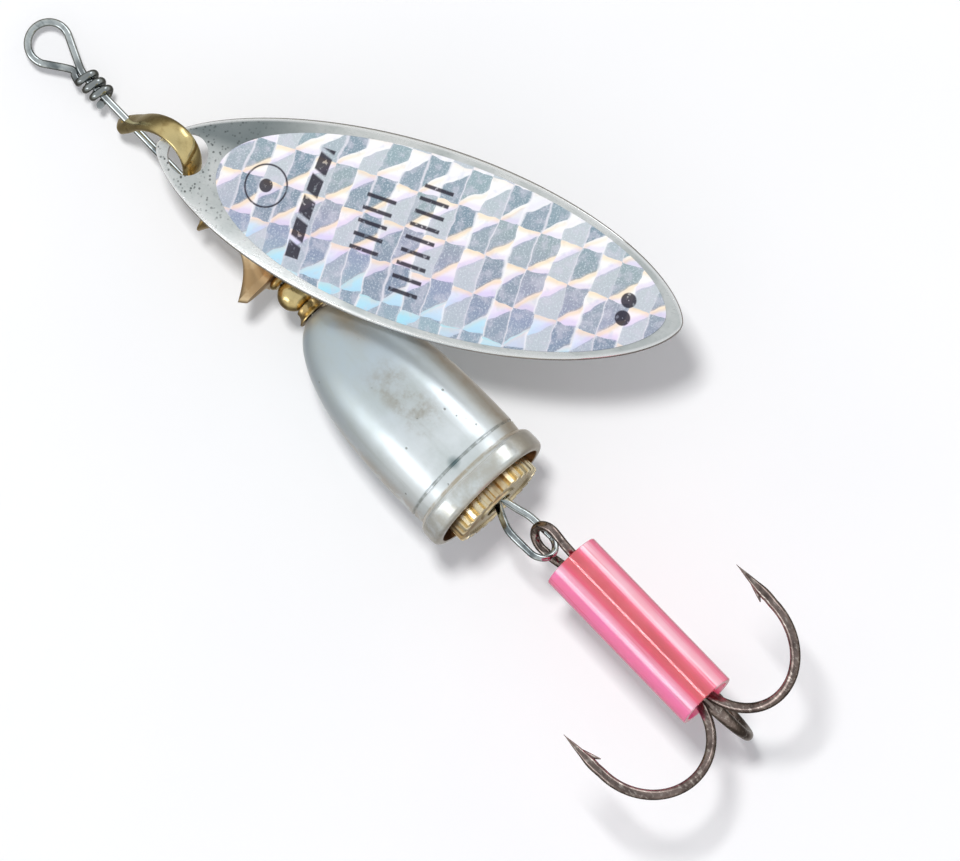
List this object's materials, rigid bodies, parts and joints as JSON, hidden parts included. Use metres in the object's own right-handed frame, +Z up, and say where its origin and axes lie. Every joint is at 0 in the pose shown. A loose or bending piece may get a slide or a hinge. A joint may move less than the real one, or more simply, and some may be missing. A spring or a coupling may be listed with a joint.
{
  "type": "inline spinner fishing lure",
  "caption": "Inline spinner lure: an oval blade on a clevis, brass beads, a bell body with a toothed sounder wheel, and a treble hook with a tube on its shank.",
  "frame": {"origin": "inner top of the line eye, where the line pulls; the lure hangs below it", "axes": "+Z up along the shaft towards the line, -Y the side the blade hangs on, +X the side the blade's tail leans to"},
  "size_m": [0.0294, 0.0175, 0.0766],
  "materials": {
    "shaft_wire": "bright drawn",
    "clevis": "polished, slightly dulled",
    "blade": "silver plated, polished",
    "blade_foil": "holographic foil",
    "thrust_bead": "satin",
    "spur_wheel": "satin",
    "spacer_bead": "polished",
    "round_bead": "polished",
    "collar": "satin",
    "bell": "silver plated, lightly tarnished",
    "spacer_tube": "plain",
    "toothed_wheel": "polished",
    "double_hook": "dark bronze finish",
    "single_hook": "dark bronze finish",
    "hook_sleeve": "translucent"
  },
  "bodies": {
    "shaft": {"shaft_wire": "shaft_wire"},
    "clevis_body": {"clevis": "clevis"},
    "blade_body": {"blade": "blade", "blade_foil": "blade_foil"},
    "thrust_body": {"thrust_bead": "thrust_bead"},
    "spur_body": {"spur_wheel": "spur_wheel"},
    "spacer_body": {"spacer_bead": "spacer_bead"},
    "round_body": {"round_bead": "round_bead"},
    "collar_body": {"collar": "collar"},
    "bell_body": {"bell": "bell"},
    "tube_body": {"spacer_tube": "spacer_tube"},
    "wheel_body": {"toothed_wheel": "toothed_wheel"},
    "treble_body": {"double_hook": "double_hook", "single_hook": "single_hook"},
    "sleeve_body": {"hook_sleeve": "hook_sleeve"}
  },
  "joints": [
    {"name": "clevis_spin", "type": "hinge", "parent": "shaft", "child": "clevis_body", "pos_m": [0, 0, -0.0132], "axis": [0, 0, 1], "continuous": true},
    {"name": "blade_swing", "type": "hinge", "parent": "clevis_body", "child": "blade_body", "pos_m": [0.00137, -0.0036, -0.01591], "axis": [-0.9348, -0.3551, 0], "range_deg": [0, 45]},
    {"name": "thrust_bead_spin", "type": "hinge", "parent": "shaft", "child": "thrust_body", "pos_m": [0, 0, -0.0194], "axis": [0, 0, 1], "continuous": true},
    {"name": "spur_spin", "type": "hinge", "parent": "shaft", "child": "spur_body", "pos_m": [0, 0, -0.024], "axis": [0, 0, 1], "continuous": true},
    {"name": "spacer_bead_spin", "type": "hinge", "parent": "shaft", "child": "spacer_body", "pos_m": [0, 0, -0.02645], "axis": [0, 0, 1], "continuous": true},
    {"name": "round_bead_spin", "type": "hinge", "parent": "shaft", "child": "round_body", "pos_m": [0, 0, -0.028], "axis": [0, 0, 1], "continuous": true},
    {"name": "collar_spin", "type": "hinge", "parent": "shaft", "child": "collar_body", "pos_m": [0, 0, -0.0296], "axis": [0, 0, 1], "continuous": true},
    {"name": "bell_spin", "type": "hinge", "parent": "shaft", "child": "bell_body", "pos_m": [0, 0, -0.04], "axis": [0, 0, 1], "continuous": true},
    {"name": "tube_spin", "type": "hinge", "parent": "shaft", "child": "tube_body", "pos_m": [0, 0, -0.04], "axis": [0, 0, 1], "continuous": true},
    {"name": "wheel_spin", "type": "hinge", "parent": "shaft", "child": "wheel_body", "pos_m": [0, 0, -0.0497], "axis": [0, 0, 1], "continuous": true},
    {"name": "treble_swing", "type": "hinge", "parent": "shaft", "child": "treble_body", "pos_m": [0.00054, 0.00028, -0.05562], "axis": [0.788, 0.6157, 0], "range_deg": [-60, 60]},
    {"name": "sleeve_slide", "type": "slide", "parent": "treble_body", "child": "sleeve_body", "axis": [0, 0, 1], "range_m": [0, 0.001]}
  ]
}
